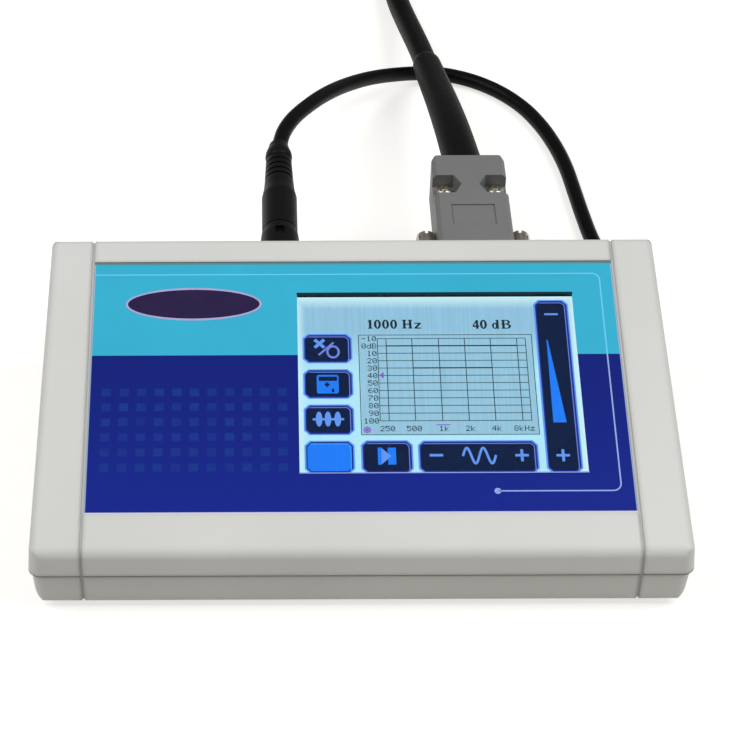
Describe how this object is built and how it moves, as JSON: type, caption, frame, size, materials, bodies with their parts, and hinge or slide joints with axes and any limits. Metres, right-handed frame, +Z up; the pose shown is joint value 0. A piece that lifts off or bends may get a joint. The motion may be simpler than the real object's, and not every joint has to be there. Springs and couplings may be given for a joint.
{
  "type": "audiometer",
  "caption": "Low desk audiometer with a sloped printed top, a touch screen, clip-on side covers and two black leads from its rear panel.",
  "frame": {"origin": "on the table under the middle of the instrument, measured with its fixed connectors and without its two leads", "axes": "+X to the user's right along the case, +Y away from the user towards the rear panel, +Z up"},
  "size_m": [0.159, 0.3741, 0.0413],
  "materials": {
    "shell": "fine spark-eroded texture",
    "rear": "fine spark-eroded texture",
    "overlay": "printed polyester foil",
    "touch": "anti-glare film",
    "foam": "closed-cell foam",
    "screen": "lit liquid-crystal screen",
    "diffuser": "white light guide",
    "tray": "bright sheet steel",
    "board": "solder resist on glass-fibre board",
    "chips": "moulded epoxy",
    "capacitors": "printed sleeve on aluminium can",
    "ribbon": "flat flexible cable",
    "screws": "nickel plated",
    "nickel": "nickel plated",
    "feet": "self-adhesive rubber",
    "black_plastic": "moulded black",
    "hood": "moulded dark grey",
    "sleeve": "heat-shrink tube",
    "headset_lead": "soft black jacket",
    "power_lead": "satin black jacket",
    "moulded_plug": "moulded black",
    "ties": "woven hook-and-loop strap"
  },
  "bodies": {
    "instrument": {"upper_shell": "shell", "lower_shell": "shell", "rear_panel": "rear", "upper_left_cover": "shell", "upper_right_cover": "shell", "lower_left_cover": "shell", "lower_right_cover": "shell", "front_overlay": "overlay", "touch_panel": "touch", "screen_gasket": "foam", "screen_glass": "screen", "screen_backlight": "diffuser", "screen_frame": "tray", "main_board": "board", "processor_chip": "chips", "audio_chip": "chips", "filter_capacitors": "capacitors", "io_board": "board", "ribbon_cable": "ribbon", "case_screws": "screws", "board_screws": "screws", "rubber_feet": "feet", "headset_connector": "nickel", "jack_posts": "nickel", "power_inlet": "black_plastic", "switch_housing": "black_plastic", "plug_connector": "nickel", "hood_upper_half": "hood", "hood_lower_half": "hood", "hood_screws": "screws", "headset_sleeve": "sleeve", "headset_cord": "headset_lead", "headset_coil": "headset_lead", "headset_tail": "headset_lead", "coil_tie": "ties", "line_socket": "black_plastic", "line_socket_ring": "nickel", "power_plug_grip": "moulded_plug", "power_plug_barrel": "nickel", "power_cord": "power_lead", "power_hank": "power_lead", "power_tail": "power_lead", "hank_tie": "ties", "far_plug_grip": "moulded_plug", "far_plug_barrel": "nickel"},
    "rocker": {"switch_rocker": "black_plastic"},
    "left_jackscrew": {"jackscrew_left": "screws"},
    "right_jackscrew": {"jackscrew_right": "screws"}
  },
  "joints": [
    {"name": "rocker_tilt", "type": "hinge", "parent": "instrument", "child": "rocker", "pos_m": [-0.046, 0.0394, 0.024], "axis": [0, 0, 1], "range_deg": [-16, 0]},
    {"name": "left_jackscrew_turn", "type": "hinge", "parent": "instrument", "child": "left_jackscrew", "pos_m": [0.0207, 0.055, 0.0273], "axis": [0, 1, 0], "continuous": true},
    {"name": "right_jackscrew_turn", "type": "hinge", "parent": "instrument", "child": "right_jackscrew", "pos_m": [0.0457, 0.055, 0.0273], "axis": [0, 1, 0], "continuous": true}
  ]
}
